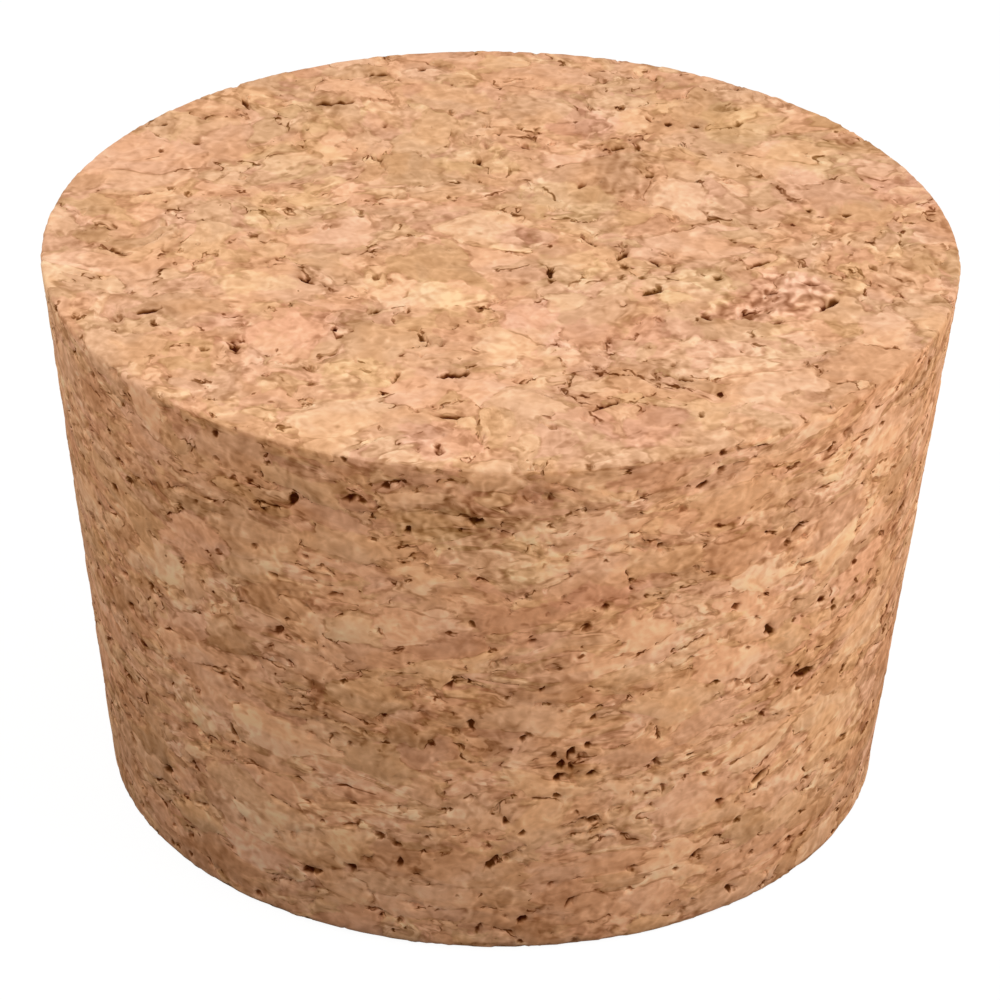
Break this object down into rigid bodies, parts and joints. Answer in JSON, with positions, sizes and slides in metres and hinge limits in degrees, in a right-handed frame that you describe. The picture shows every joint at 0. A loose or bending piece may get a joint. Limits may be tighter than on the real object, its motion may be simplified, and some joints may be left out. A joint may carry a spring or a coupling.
{
  "type": "cork stopper",
  "caption": "Tapered stopper of pressed cork granules that plugs the round neck of a bottle, jar or flask.",
  "frame": {"origin": "centre of the narrow end face, which the stopper stands on", "axes": "+Z along the stopper's axis, from the narrow face up to the wide face"},
  "size_m": [0.06, 0.06, 0.038],
  "materials": {
    "cork": "matte"
  },
  "bodies": {
    "root": {"cork_stopper": "cork"}
  },
  "joints": []
}
